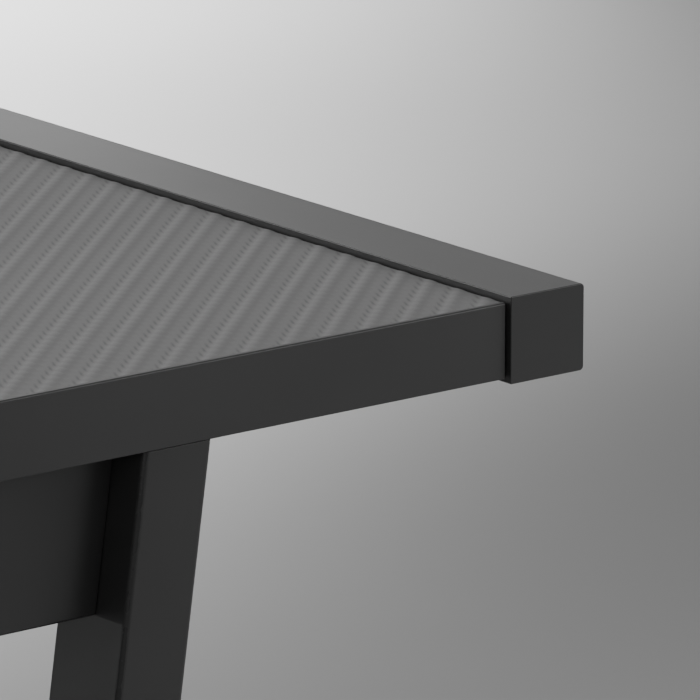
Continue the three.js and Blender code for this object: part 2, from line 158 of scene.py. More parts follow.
class DeskSizes(bpy.types.PropertyGroup):
    """Sizes that the frame's boxes don't give."""

    tow_along: length("Pitch of the weave along a wing", 4.62)
    tow_across: length("Pitch of the weave across a wing", 4.34)
    weave_relief: length("Height of the embossed weave", 0.3)
    band_upper_radius: length("Upper edge of the bands", 0.7)
    band_lower_radius: length("Lower edge of the bands", 0.3)
    band_end_radius: length("Ends of the bands", 0.1)
    rail_width: length("Width of the end rails", 36)
    rail_outer_radius: length("Rail corners away from the top", 1.8)
    rail_inner_radius: length("Rail corners beside the top", 0.5)
    rail_wall: length("Wall of the end rails", 1.8)
    tab_thickness: length("Screw tabs of the end rails", 1.5)
    tab_width: length("Width of a screw tab", 30)
    tab_corner_radius: length("Free corners of a screw tab", 5)
    tab_edge_radius: length("Dressed edges of a screw tab", 0.2)
    tab_spacing: length("Edge of the top to the first tab", 60)
    tab_screw_inset: length("Tab's end to its first screw", 11)
    tab_screw_pitch: length("Between a tab's two screws", 18)
    drain_radius: length("Drain holes under the end rails", 3)
    drain_inset: length("Rail's end to its drain hole", 20)
    leg_width: length("Leg tube across its slant, on the level", 31)
    leg_radius: length("Corners of the leg tube", 2.5)
    tube_wall: length("Wall of the legs and cross tubes", 1.5)
    cross_radius: length("Corners of the cross tubes", 2)
    cross_screw_inset: length("Tube's end to its screw", 50)
    access_radius: length("Holes that let a screwdriver in", 5)
    beam_radius: length("Corners of the beams", 1.5)
    leg_end_radius: length("Dressed ends of the legs", 0.12)
    cut_radius: length("Dressed edges of cut steel ends", 0.35)
    fit_gap: length("Clearance between pieces that meet", 0.3)
    thread_pitch: length("Pitch of the levelling studs", 1.25)
    thread_depth: length("Depth of the studs' thread", 0.7)
    tab_count: IntProperty(description="Screw tabs on a rail", default=3, min=2)
    cross_screws: IntProperty(description="Screws through a cross tube", default=3, min=2)


class DeskColours(bpy.types.PropertyGroup):
    """Base colours of the desk's finishes."""

    twill: tint("Embossed laminate of the tops", grey(0.108))
    edge: tint("Edge bands of the tops", grey(0.0235))
    steel: tint("Powder coat of the steel parts", grey(0.031))
    board: tint("Backing of the boards", grey(0.02))
    dowel: tint("Beech of the seam dowels", (0.57, 0.35, 0.15))
    bolt: tint("Black oxide of the bolts", grey(0.05))
    zinc: tint("Zinc plate of studs and screws", (0.42, 0.43, 0.44))
    plastic: tint("Nylon of the leg plugs", grey(0.016))
    rubber: tint("Rubber of the foot pads", grey(0.01))
    floor: tint("Plain pale floor", grey(0.5))


# --- Meshes ---


class Shape:
    """Points and faces of a piece. Each point holds how worn it gets, from 0 on flats to 1 on edges."""

    def __init__(self):
        self.points = []
        self.wear = []
        self.faces = []

    def add_ring(self, ring):
        """Adds a ring of (place, wear) points and returns their numbers."""
        start = len(self.points)
        self.points += [place for place, _ in ring]
        self.wear += [wear for _, wear in ring]
        return list(range(start, len(self.points)))

    def bridge(self, first, second):
        """Joins two rings of as many points with four-sided faces."""
        for i, (a, b) in enumerate(zip(first, second)):
            self.faces.append((first[i - 1], a, b, second[i - 1]))

    def sweep(self, rings, closed=False):
        """Joins rings one after another. Closed, the last joins the first, else both are capped."""
        numbers = [self.add_ring(ring) for ring in rings]
        for first, second in zip(numbers, numbers[1:]):
            self.bridge(first, second)
        if closed:
            self.bridge(numbers[-1], numbers[0])
        else:
            self.faces.append(tuple(reversed(numbers[0])))
            self.faces.append(tuple(numbers[-1]))
        return self

    def join(self, other):
        """Adds another shape's points and faces."""
        offset = len(self.points)
        self.points += other.points
        self.wear += other.wear
        self.faces += [tuple(i + offset for i in face) for face in other.faces]
        return self

    def moved(self, matrix):
        self.points = [matrix @ point for point in self.points]
        return self


def section(low, high, radii, margin=0.0):
    """A rectangle with rounded corners, drawn in by a margin, as (u, v, wear) points from its lower
    left corner round by its lower right one. The radii are one for all corners or one for each."""
    (x0, y0), (x1, y1) = low, high
    if isinstance(radii, float):
        radii = (radii,) * 4
    corners = ((x0, y0, 1, 1), (x1, y0, -1, 1), (x1, y1, -1, -1), (x0, y1, 1, -1))
    points = []
    for i, ((x, y, right, up), radius) in enumerate(zip(corners, radii)):
        r = max(radius - margin, LEAST_RADIUS)
        middle_x, middle_y = x + right * (margin + r), y + up * (margin + r)
        for k in range(CORNER_STEPS + 1):
            turn = math.pi + (i + k / CORNER_STEPS) * math.pi / 2
            wear = math.sin(math.pi * k / CORNER_STEPS)
            points.append((middle_x + r * math.cos(turn), middle_y + r * math.sin(turn), wear))
    return points


def rounded_span(start, end, radius, steps=END_STEPS):
    """Stations along a bar whose two end edges are rounded, as (distance, margin, wear)."""
    turns = [math.pi / 2 * (1 - k / steps) for k in range(steps + 1)]
    edge = [(radius * (1 - math.sin(t)), radius * (1 - math.cos(t)), math.sin(2 * t)) for t in turns]
    near = [(start + distance, margin, wear) for distance, margin, wear in edge]
    far = [(end - distance, margin, wear) for distance, margin, wear in reversed(edge)]
    return near + far


def bar_rings(corners, radii, stations, place):
    """Rings of a bar between two (u, v) corners, at each station along it. A ring around a flat end
    isn't worn, so that wear doesn't spread over the end."""
    rings = []
    for w, margin, edge_wear in stations:
        on_end = margin > 0 and edge_wear < 0.001
        rings.append([
            (place(u, v, w), 0.0 if on_end else max(wear, edge_wear))
            for u, v, wear in section(*corners, radii, margin)
        ])
    return rings


def bar(corners, radii, stations, place):
    return Shape().sweep(bar_rings(corners, radii, stations, place))


def tube(corners, radii, outer_stations, wall, place):
    """A tube, open at both ends, with its wall inside its outline."""
    start, end = outer_stations[0][0], outer_stations[-1][0]
    outside = bar_rings(corners, radii, outer_stations, place)
    inside = bar_rings(corners, radii, [(end, wall, 0), (start, wall, 0)], place)
    return Shape().sweep(outside + inside, closed=True)


def along_x(u, v, w):
    return Vector((w, u, v))


def along_y(u, v, w):
    return Vector((u, w, v))


def along_z(u, v, w):
    return Vector((u, v, w))


def turned_ring(radius, height, sides, wear):
    """A level ring whose radius is a number or a function of the angle."""
    ring = []
    for i in range(sides):
        turn = 2 * math.pi * i / sides
        r = radius(turn) if callable(radius) else radius
        ring.append((Vector((r * math.cos(turn), r * math.sin(turn), height)), wear))
    return ring


def turned(profile, sides=ROUND_SIDES):
    """A turned shape from (radius, height, wear) points of its profile, closed at both ends."""
    return Shape().sweep([turned_ring(r, z, sides, wear) for r, z, wear in profile])


def hexagon(across_flats):
    """The radius of a hexagon at each angle."""

    def radius(turn):
        off_flat = (turn + math.pi / 6) % (math.pi / 3) - math.pi / 6
        return across_flats / 2 / math.cos(off_flat)

    return radius


def upright_to(direction):
    """The turn from +Z to a direction."""
    return Vector((0, 0, 1)).rotation_difference(direction).to_matrix().to_4x4()


def holes_below(places, radius, bottom, wall, wing):
    """Closed cylinders up through the bottom wall of a tube, one at each place."""
    profile = [(radius, bottom - wall, 0.0), (radius, bottom + 2 * wall, 0.0)]
    return [
        turned(profile, HOLE_SIDES).moved(wing.matrix @ Matrix.Translation((*place.xy, 0)))
        for place in places
    ]


def spread(start, end, count):
    """Places spread evenly from start to end, both included."""
    return [start + (end - start) * i / (count - 1) for i in range(count)]


def mesh_of(name, shape):
    mesh = bpy.data.meshes.new(name)
    mesh.from_pydata([tuple(point) for point in shape.points], [], shape.faces)
    wear = mesh.attributes.new("wear", "FLOAT", "POINT")
    wear.data.foreach_set("value", shape.wear)
    outward = bmesh.new()
    outward.from_mesh(mesh)
    bmesh.ops.recalc_face_normals(outward, faces=outward.faces)
    outward.to_mesh(mesh)
    outward.free()
    return mesh


def settle(piece):
    """Applies a piece's modifiers to its mesh."""
    seen = piece.evaluated_get(bpy.context.evaluated_depsgraph_get())
    settled = bpy.data.meshes.new_from_object(seen)
    settled.name = piece.name
    piece.modifiers.clear()
    piece.data = settled


def drill(piece, cutters):
    """Cuts closed shapes that don't touch each other out of a piece."""
    joined = Shape()
    for cutter in cutters:
        joined.join(cutter)
    tool = bpy.data.objects.new("drill", mesh_of("drill", joined))
    bpy.context.scene.collection.objects.link(tool)
    cut = piece.modifiers.new("holes", "BOOLEAN")
    cut.operation = "DIFFERENCE"
    cut.solver = "EXACT"
    cut.object = tool
    settle(piece)
    bpy.data.objects.remove(tool)


def make_piece(name, shape, slot, body="frame", stands_for=(), cuts=(), material=None):
    """A visible piece from a shape in the desk's frame, with smooth rounded edges. Each cut is a
    list of closed shapes that don't touch each other. The material is its slot's if none is given."""
    piece = bpy.data.objects.new(name, mesh_of(name, shape))
    bpy.context.scene.collection.objects.link(piece)
    for cutters in cuts:
        drill(piece, cutters)
    piece.data.shade_smooth()
    piece.data.set_sharp_from_angle(angle=SMOOTH_ANGLE)
    even = piece.modifiers.new("even shading", "WEIGHTED_NORMAL")
    even.keep_sharp = True
    settle(piece)
    piece.data.materials.clear()
    piece.data.materials.append(material or finish(slot))
    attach(piece, body)
    if stands_for:
        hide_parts(*stands_for)
    return piece


# --- Shader nodes ---


def add_node(tree, kind, inputs=None, **settings):
    """A node with its settings and inputs. An input that is a socket is linked, others are set."""
    node = tree.nodes.new(kind)
    for key, value in settings.items():
        setattr(node, key, value)
    for key, value in (inputs or {}).items():
        if isinstance(value, bpy.types.NodeSocket):
            tree.links.new(value, node.inputs[key])
        else:
            node.inputs[key].default_value = value
    return node


def math_node(tree, operation, *values):
    return add_node(tree, "ShaderNodeMath", dict(enumerate(values)), operation=operation).outputs[0]


def noise(tree, vector, scale, detail=2.0, roughness=0.5):
    inputs = {"Vector": vector, "Scale": scale, "Detail": detail, "Roughness": roughness}
    return add_node(tree, "ShaderNodeTexNoise", inputs).outputs["Fac"]


def map_range(tree, value, low, high, to_low, to_high):
    inputs = {
        "Value": value, "From Min": low, "From Max": high, "To Min": to_low, "To Max": to_high
    }
    return add_node(tree, "ShaderNodeMapRange", inputs).outputs["Result"]


def mix_colour(tree, factor, first, second):
    inputs = {0: factor, 6: first, 7: second}
    return add_node(tree, "ShaderNodeMix", inputs, data_type="RGBA").outputs[2]


def stretch(tree, vector, scale):
    return add_node(tree, "ShaderNodeMapping", {"Vector": vector, "Scale": scale}).outputs["Vector"]


def node_group(name, build, size=None):
    """A shader node group, built once, that takes a place and, if a size is given, a size too."""
    group = bpy.data.node_groups.get(name)
    if group:
        return group
    group = bpy.data.node_groups.new(name, "ShaderNodeTree")
    group.interface.new_socket("Vector", in_out="INPUT", socket_type="NodeSocketVector")
    if size is not None:
        socket = group.interface.new_socket("Size", in_out="INPUT", socket_type="NodeSocketFloat")
        socket.default_value = size
    given = group.nodes.new("NodeGroupInput")
    result = group.nodes.new("NodeGroupOutput")
    for socket_name, value in build(group, given.outputs).items():
        group.interface.new_socket(socket_name, in_out="OUTPUT", socket_type="NodeSocketFloat")
        group.links.new(value, result.inputs[socket_name])
    return group


def use_group(tree, group, **inputs):
    return add_node(tree, "ShaderNodeGroup", inputs, node_tree=group).outputs


def fine_grain_group():
    """The small bumps of a coating or a moulded surface, over slower waves."""

    def build(tree, given):
        scale = math_node(tree, "DIVIDE", 1.0, given["Size"])
        grain = noise(tree, given["Vector"], scale, 2.0, 0.6)
        waves = noise(tree, given["Vector"], math_node(tree, "MULTIPLY", scale, 0.18), 1.0)
        return {"Height": math_node(tree, "MULTIPLY_ADD", waves, 0.6, grain)}

    return node_group("Fine grain", build, size=0.001)


def mottle_group():
    """Slow, cloudy variation of a finish, from 0 to 1."""

    def build(tree, given):
        scale = math_node(tree, "DIVIDE", 1.0, given["Size"])
        clouds = noise(tree, given["Vector"], scale, 4.0, 0.55)
        return {"Mottle": map_range(tree, clouds, 0.3, 0.7, 0.0, 1.0)}

    return node_group("Mottle", build, size=0.1)


def edge_wear_group():
    """Where edges are polished by handling: the worn points, broken up by noise."""

    def build(tree, given):
        worn = add_node(tree, "ShaderNodeAttribute", attribute_name="wear").outputs["Fac"]
        patches = map_range(tree, noise(tree, given["Vector"], 60.0, 4.0), 0.35, 0.7, 0.25, 1.0)
        nicks = map_range(tree, noise(tree, given["Vector"], 900.0, 2.0), 0.62, 0.72, 0.0, 1.0)
        polish = math_node(tree, "MULTIPLY", worn, patches)
        return {"Polish": polish, "Nicks": math_node(tree, "MULTIPLY", polish, nicks)}

    return node_group("Edge wear", build)


def dust_group():
    """Thin dust on faces that look up, from 0 to 1."""

    def build(tree, given):
        normal = add_node(tree, "ShaderNodeNewGeometry").outputs["Normal"]
        up = add_node(tree, "ShaderNodeSeparateXYZ", {0: normal}).outputs["Z"]
        facing = map_range(tree, up, 0.5, 1.0, 0.0, 1.0)
        specks = map_range(tree, noise(tree, given["Vector"], 1400.0, 1.0), 0.66, 0.78, 0.0, 1.0)
        haze = map_range(tree, noise(tree, given["Vector"], 14.0, 5.0), 0.4, 0.75, 0.0, 0.5)
        both = math_node(tree, "MULTIPLY_ADD", specks, 0.5, haze)
        return {"Dust": math_node(tree, "MULTIPLY", facing, both)}

    return node_group("Dust", build)


def new_material(name):
    """A material with only its shader and output, and the piece's own coordinates."""
    material = bpy.data.materials.new(name)
    material.use_nodes = True
    tree = material.node_tree
    tree.nodes.clear()
    shader = tree.nodes.new("ShaderNodeBsdfPrincipled")
    output = tree.nodes.new("ShaderNodeOutputMaterial")
    tree.links.new(shader.outputs[0], output.inputs["Surface"])
    place = tree.nodes.new("ShaderNodeTexCoord").outputs["Object"]
    return material, tree, shader, place


def shaded(colour, factor):
    """A colour made lighter or darker, with full alpha."""
    return (*[min(1.0, c * factor) for c in colour], 1.0)


def add_bump(tree, shader, height, distance):
    inputs = {"Height": height, "Distance": distance, "Strength": 1.0}
    bump = add_node(tree, "ShaderNodeBump", inputs)
    tree.links.new(bump.outputs["Normal"], shader.inputs["Normal"])


def dusted(tree, place, base, amount):
    """A base colour under an amount of dust, on faces that look up."""
    dust = use_group(tree, dust_group(), Vector=place)["Dust"]
    return mix_colour(tree, math_node(tree, "MULTIPLY", dust, amount), base, DUST_COLOUR)


def coated_finish(name, colour, roughness, grain, relief, wear_light=2.0, dust=0.0, metallic=0.0,
                  mottle=0.12, mottle_light=0.15):
    """A painted, moulded or plated surface: clouded colour, fine grain, worn edges and dust."""
    material, tree, shader, place = new_material(name)
    clouds = use_group(tree, mottle_group(), Vector=place, Size=mottle)["Mottle"]
    wear = use_group(tree, edge_wear_group(), Vector=place)
    dark, light = shaded(colour, 1 - mottle_light), shaded(colour, 1 + mottle_light)
    base = mix_colour(tree, clouds, dark, light)
    base = mix_colour(tree, wear["Nicks"], base, shaded(colour, wear_light))
    if dust:
        base = dusted(tree, place, base, dust)
    tree.links.new(base, shader.inputs["Base Color"])
    matt = map_range(tree, clouds, 0.0, 1.0, roughness - 0.03, roughness + 0.03)
    polished = math_node(tree, "MULTIPLY_ADD", wear["Polish"], -0.1, matt)
    tree.links.new(polished, shader.inputs["Roughness"])
    shader.inputs["Metallic"].default_value = metallic
    height = use_group(tree, fine_grain_group(), Vector=place, Size=grain)["Height"]
    add_bump(tree, shader, height, relief)
    return material


def powder_coat(colours):
    return coated_finish("Charcoal powder coat", colours.steel, 0.3, 0.55 * MM, 0.012 * MM,
                         dust=0.03, mottle=0.25, mottle_light=0.08)


def edge_banding(colours):
    return coated_finish("Charcoal edge banding", colours.edge, 0.4, 0.35 * MM, 0.01 * MM,
                         mottle=0.2, mottle_light=0.06)


def backing_board(colours):
    return coated_finish("Black backing sheet", colours.board, 0.75, 0.9 * MM, 0.05 * MM,
                         mottle=0.05, mottle_light=0.25)


def black_oxide(colours):
    return coated_finish("Black oxide", colours.bolt, 0.38, 0.4 * MM, 0.008 * MM, wear_light=5.0,
                         metallic=0.85, mottle=0.01)


def zinc_plate(colours):
    return coated_finish("Bright zinc plate", colours.zinc, 0.3, 0.5 * MM, 0.006 * MM,
                         wear_light=1.3, metallic=1.0, mottle=0.006, mottle_light=0.2)


def moulded_nylon(colours):
    return coated_finish("Moulded nylon", colours.plastic, 0.5, 0.25 * MM, 0.02 * MM,
                         mottle=0.03, wear_light=1.8)


def rubber(colours):
    return coated_finish("Foot rubber", colours.rubber, 0.8, 0.3 * MM, 0.03 * MM, dust=0.15,
                         mottle=0.02, mottle_light=0.25, wear_light=1.6)


def beech(colours):
    """Straight-grained wood, with its grain along Y."""
    material, tree, shader, place = new_material("Beech")
    grain = noise(tree, stretch(tree, place, (900.0, 40.0, 900.0)), 1.0, 3.0)
    base = mix_colour(tree, grain, shaded(colours.dowel, 0.75), shaded(colours.dowel, 1.2))
    tree.links.new(base, shader.inputs["Base Color"])
    tree.links.new(map_range(tree, grain, 0.2, 0.8, 0.6, 0.75), shader.inputs["Roughness"])
    add_bump(tree, shader, grain, 0.05 * MM)
    return material


# The weave's phase, in tows: a raised tow's left edge along the wing, and its first end across it.
TOW_EDGE = 0.42
TOW_START = 2.25
TOW_REPEAT = 4  # over two, under two
TOW_FLOAT = 2  # tows that a raised stretch runs over
TOW_GROOVE = 0.05  # half the groove between two tows, in tows
CROSS_TOW_HEIGHT = 0.12  # of the tows that cross under the raised ones

# Slanted lines of painted light and shade on the weave, in tows: where each starts, how far it slants
# for each tow across it, and its half width. The painted crest highlight and foot shade are along a
# raised tow's run, the painted pit shade is beside it.
CREST_HIGHLIGHT_LINE = (1.05, 1.1, 0.75)
FOOT_SHADE_LINE = (1.95, 0.85, 0.6)
FOOT_SHADE_SHIFT = 2.0  # moves the painted foot shade's run, so that its line doesn't pass the end of a repeat
PIT_SHADE_LINE = (-0.78, 0.42, 0.2)
PIT_SHADE_STRETCH = (2.0, 0.0, 1.0)  # the part of the run that has the painted pit shade
PIT_SHADE_REACH = 0.3  # how far to the left of a tow's edge its painted pit shade goes, at the most

# Scales of the noise that makes strands, which is finer across a strand than along it.
ACROSS_STRANDS = 4200.0
ALONG_STRANDS = 300.0


def line_mask(tree, value, across, line):
    """1 where a value is on a slanted line, falling to 0 at the line's half width from it."""
    start, slant, half = line
    middle = math_node(tree, "MULTIPLY_ADD", across, slant, start)
    away = math_node(tree, "ABSOLUTE", math_node(tree, "SUBTRACT", value, middle))
    return map_range(tree, away, 0.0, half, 1.0, 0.0)


def tow_place(tree, u, v, reach):
    """How far a point is beside its raised tow's left edge and along its run, in tows. The reach is
    how far to the left of its edge a tow is followed."""
    from_edge = math_node(tree, "ADD", math_node(tree, "SUBTRACT", u, TOW_EDGE), reach)
    column = math_node(tree, "FLOOR", from_edge)
    beside = math_node(tree, "SUBTRACT", math_node(tree, "FRACT", from_edge), reach)
    run = math_node(tree, "SUBTRACT", math_node(tree, "SUBTRACT", v, column), TOW_START)
    return beside, math_node(tree, "FLOORED_MODULO", run, TOW_REPEAT)


def twill_group(sizes):
    """The masks of the embossed weave: its strands, and painted light and shade. Its raised tows lean
    on each other, so their lit far ends make one slanted crest, painted as a highlight, with painted
    shade on the foot before it and in a pit beside each tow."""

    def build(tree, given):
        across = add_node(tree, "ShaderNodeSeparateXYZ", {0: given["Vector"]})
        u = math_node(tree, "MULTIPLY", across.outputs["X"], 1 / sizes.tow_along)
        v = math_node(tree, "MULTIPLY", across.outputs["Y"], 1 / sizes.tow_across)
        beside, run = tow_place(tree, u, v, 0.0)
        # Mask of the painted highlight along the lit crest of the raised tows.
        crest_highlight = line_mask(tree, run, beside, CREST_HIGHLIGHT_LINE)
        # Mask of the painted shade on the foot before the crest.
        shifted = math_node(tree, "ADD", run, FOOT_SHADE_SHIFT)
        foot_shade_run = math_node(tree, "FLOORED_MODULO", shifted, TOW_REPEAT)
        foot = line_mask(tree, foot_shade_run, beside, FOOT_SHADE_LINE)
        # Mask of the painted shade in the pit beside each tow.
        beside, pit_shade_run = tow_place(tree, u, v, PIT_SHADE_REACH)
        pit_shade = math_node(tree, "MULTIPLY", line_mask(tree, beside, pit_shade_run, PIT_SHADE_LINE),
                        line_mask(tree, pit_shade_run, pit_shade_run, PIT_SHADE_STRETCH))
        raised = math_node(tree, "LESS_THAN", run, TOW_FLOAT)
        lengthwise = stretch(tree, given["Vector"], (ACROSS_STRANDS, ALONG_STRANDS, 1.0))
        crosswise = stretch(tree, given["Vector"], (ALONG_STRANDS, ACROSS_STRANDS, 1.0))
        strands = add_node(tree, "ShaderNodeMix", {
            0: raised, 2: noise(tree, crosswise, 1.0, 1.0), 3: noise(tree, lengthwise, 1.0, 1.0)
        }).outputs[0]
        return {"Crest": crest_highlight, "Foot": foot, "Pit": pit_shade, "Strands": strands}

    return node_group("Twill weave", build)


def twill_laminate(name, colours, sizes, wing):
    """The dark laminate of a wing's top, with its weave lined up with the wing, and painted light and
    shade on the weave.
    """
    material, tree, shader, place = new_material(name)
    to_wing = add_node(tree, "ShaderNodeMapping", {
        "Vector": place,
        "Location": wing.matrix.translation,
        "Rotation": wing.matrix.to_euler(),
    }, vector_type="TEXTURE").outputs["Vector"]
    weave = use_group(tree, twill_group(sizes), Vector=to_wing)
    clouds = use_group(tree, mottle_group(), Vector=place, Size=0.18)["Mottle"]
    colour = colours.twill
    base = mix_colour(tree, weave["Strands"], shaded(colour, 0.78), shaded(colour, 1.2))
    # Painted light and shade: the crest is painted lighter as a highlight, the foot and the pits darker
    # as shade.
    for mask, amount, lightness in (("Crest", 0.6, 1.5), ("Foot", 0.14, 0.3), ("Pit", 0.7, 0.12)):
        share = math_node(tree, "MULTIPLY", weave[mask], amount)
        base = mix_colour(tree, share, base, shaded(colour, lightness))
    base = dusted(tree, place, base, 0.04)
    tree.links.new(base, shader.inputs["Base Color"])
    matt = map_range(tree, clouds, 0.0, 1.0, 0.5, 0.54)
    matt = math_node(tree, "MULTIPLY_ADD", weave["Strands"], 0.08, matt)
    tree.links.new(matt, shader.inputs["Roughness"])
    grain = use_group(tree, fine_grain_group(), Vector=place, Size=0.4 * MM)["Height"]
    fine = math_node(tree, "MULTIPLY_ADD", weave["Strands"], 0.8, grain)
    add_bump(tree, shader, fine, 0.015 * MM)
    return material


FINISHES = {
    "edge": edge_banding,
    "steel": powder_coat,
    "board": backing_board,
    "dowel": beech,
    "bolt": black_oxide,
    "zinc": zinc_plate,
    "plastic": moulded_nylon,
    "rubber": rubber,
}
made_finishes = {}


def finish(slot):
    """The material of a slot, made when it is first asked for."""
    if slot not in made_finishes:
        made_finishes[slot] = FINISHES[slot](bpy.context.scene.desk_colours)
    return made_finishes[slot]


def refinish(node, slot):
    """Gives a CAD node that stays in view its finish."""
    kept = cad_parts[node]
    kept.data.materials.clear()
    kept.data.materials.append(finish(slot))


# --- What the operators share ---


class PieceMaker:
    """Runs an operator's make method with the scene's sizes."""

    def execute(self, context):
        self.make(context.scene.desk_sizes)
        return {"FINISHED"}


# --- Tops ---


class DESK_OT_boards(PieceMaker, bpy.types.Operator):
    """Finish the two boards and the dowels across their seam"""

    bl_idname = "desk.boards"
    bl_label = "Boards and dowels"

    def make(self, sizes):
        refinish("main_board", "board")
        refinish("return_board", "board")
        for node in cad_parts:
            if node.startswith("seam_dowel"):
                refinish(node, "dowel")


def tow_lines(low, high, pitch, phases):
    """Grid lines from low to high, at set phases of every tow."""
    tows = range(math.floor(low / pitch) - 1, math.ceil(high / pitch) + 1)
    lines = [(tow + phase) * pitch for tow in tows for phase in phases]
    least_gap = 0.1 * MM
    inside = [line for line in lines if low + least_gap < line < high - least_gap]
    return [low] + inside + [high]


def weave_height(u, v):
    """Height of the weave, from 0 to 1, where a tow's raised stretch dives under at both its ends."""
    column = math.floor(u - TOW_EDGE)
    run = (v - column - TOW_START) % TOW_REPEAT
    if run < TOW_FLOAT:
        return 1 - (run / (TOW_FLOAT / 2) - 1) ** 2
    return CROSS_TOW_HEIGHT * (1 - math.cos(2 * math.pi * run)) / 2


def twill_shape(low, high, sizes):
    """A thin sheet whose upper face is embossed, with square sides down to its flat underside."""
    along = tow_lines(low.x, high.x, sizes.tow_along,
                      (TOW_EDGE + TOW_GROOVE, TOW_EDGE + 1 - TOW_GROOVE))
    across = tow_lines(low.y, high.y, sizes.tow_across, (TOW_START % 1, TOW_START % 1 + 0.5))
    base = high.z - sizes.weave_relief
    shape = Shape()
    for y in across:
        for x in along:
            raised = weave_height(x / sizes.tow_along, y / sizes.tow_across)
            shape.points.append(Vector((x, y, base + sizes.weave_relief * raised)))
    columns, rows = len(along), len(across)
    for row in range(rows - 1):
        for column in range(columns - 1):
            corner = row * columns + column
            shape.faces.append((corner, corner + 1, corner + columns + 1, corner + columns))
    edge = (
        list(range(columns))
        + [row * columns + columns - 1 for row in range(1, rows)]
        + [(rows - 1) * columns + column for column in range(columns - 2, -1, -1)]
        + [row * columns for row in range(rows - 2, 0, -1)]
    )
    foot_start = len(shape.points)
    for i in edge:
        shape.points.append(Vector((shape.points[i].x, shape.points[i].y, low.z)))
    foot = list(range(foot_start, len(shape.points)))
    shape.wear = [0.0] * len(shape.points)
    shape.bridge(edge, foot)
    shape.faces.append(tuple(foot))
    return shape


class DESK_OT_twill_tops(PieceMaker, bpy.types.Operator):
    """Make the embossed laminate of both wings' tops"""

    bl_idname = "desk.twill_tops"
    bl_label = "Twill tops"

    def make(self, sizes):
        colours = bpy.context.scene.desk_colours
        for node, wing in TWILL_SKINS.items():
            low, high = wing.box(node)
            shape = twill_shape(low, high, sizes).moved(wing.matrix)
            name = f"Twill laminate {node.split('_')[0]}"
            laminate = twill_laminate(name, colours, sizes, wing)
            make_piece(f"{node}_embossed", shape, "twill", stands_for=[node], material=laminate)


class DESK_OT_edge_bands(PieceMaker, bpy.types.Operator):
    """Make the edge bands, with the edges that look outwards rounded"""

    bl_idname = "desk.edge_bands"
    bl_label = "Edge bands"

    def make(self, sizes):
        lower, upper = sizes.band_lower_radius, sizes.band_upper_radius
        for node, (wing, axis, outer) in EDGE_BANDS.items():
            low, high = wing.box(node)
            radii = (lower, 0, 0, upper) if outer == "low" else (0, lower, upper, 0)
            if axis == "X":
                corners = (low.y, low.z), (high.y, high.z)
                start, end, place = low.x, high.x, along_x
            else:
                corners = (low.x, low.z), (high.x, high.z)
                start, end, place = low.y, high.y, along_y
            stations = rounded_span(start, end, sizes.band_end_radius, steps=2)
            shape = bar(corners, radii, stations, place).moved(wing.matrix)
            make_piece(f"{node}_rounded", shape, "edge", stands_for=[node])


# --- Steel ---


def tab_places(wing, sizes):
    """The middles of the screw tabs across a wing, spread between its long edges."""
    bands = [node for node, (own, axis, _) in EDGE_BANDS.items() if own is wing and axis == "X"]
    low = min(wing.box(band)[0].y for band in bands)
    high = max(wing.box(band)[1].y for band in bands)
    return spread(low + sizes.tab_spacing, high - sizes.tab_spacing, sizes.tab_count)


class DESK_OT_end_rails(PieceMaker, bpy.types.Operator):
    """Make the steel end rails, hollow, with drain holes below and screw tabs under the top"""

    bl_idname = "desk.end_rails"
    bl_label = "End rails"

    def make(self, sizes):
        for node, wing in END_RAILS.items():
            self.make_rail(node, wing, sizes)
            self.make_tabs(node, wing, sizes)

    def make_rail(self, node, wing, sizes):
        low, high = wing.box(node)
        low.x = high.x - sizes.rail_width
        corners = (low.x, low.z), (high.x, high.z)
        small, large, wall = sizes.rail_inner_radius, sizes.rail_outer_radius, sizes.rail_wall
        stations = rounded_span(low.y, high.y, sizes.cut_radius)
        rail = bar(corners, (small, large, large, small), stations, along_y).moved(wing.matrix)
        ends = [(low.y + wall, wall, 0), (high.y - wall, wall, 0)]
        inside = bar(corners, (0, large, large, 0), ends, along_y).moved(wing.matrix)
        middle_x = (low.x + high.x) / 2
        places = [
            Vector((middle_x, y)) for y in (low.y + sizes.drain_inset, high.y - sizes.drain_inset)
        ]
        drains = holes_below(places, sizes.drain_radius, low.z, wall, wing)
        cuts = [inside], drains
        make_piece(f"{node}_steel", rail, "steel", stands_for=[node], cuts=cuts)

    def make_tabs(self, node, wing, sizes):
        low, high = wing.box(node)
        root = high.x - sizes.rail_width
        top, half = -sizes.fit_gap, sizes.tab_width / 2
        radii = (sizes.tab_corner_radius, 0, 0, sizes.tab_corner_radius)
        stations = rounded_span(top - sizes.tab_thickness, top, sizes.tab_edge_radius, steps=2)
        for i, y in enumerate(tab_places(wing, sizes)):
            corners = (low.x, y - half), (root, y + half)
            shape = bar(corners, radii, stations, along_z).moved(wing.matrix)
            make_piece(f"{node}_tab_{i + 1}", shape, "steel")


def leg_slope(sizes):
    """How far the legs lean along their wing for each metre of height."""
    low, high = MAIN.box("right_front_leg")
    return (high.x - low.x - sizes.leg_width) / (high.z - low.z)


def leg_line(leg, sizes):
    """A leg's wing and box, and a function from height to the middle of the leg along the wing."""
    wing, lean = LEGS[leg]
    low, high = wing.box(f"{leg}_leg")
    half = sizes.leg_width / 2
    top_x = high.x - half if lean > 0 else low.x + half
    slope = lean * leg_slope(sizes)
    return wing, low, high, lambda z: top_x + slope * (z - high.z)


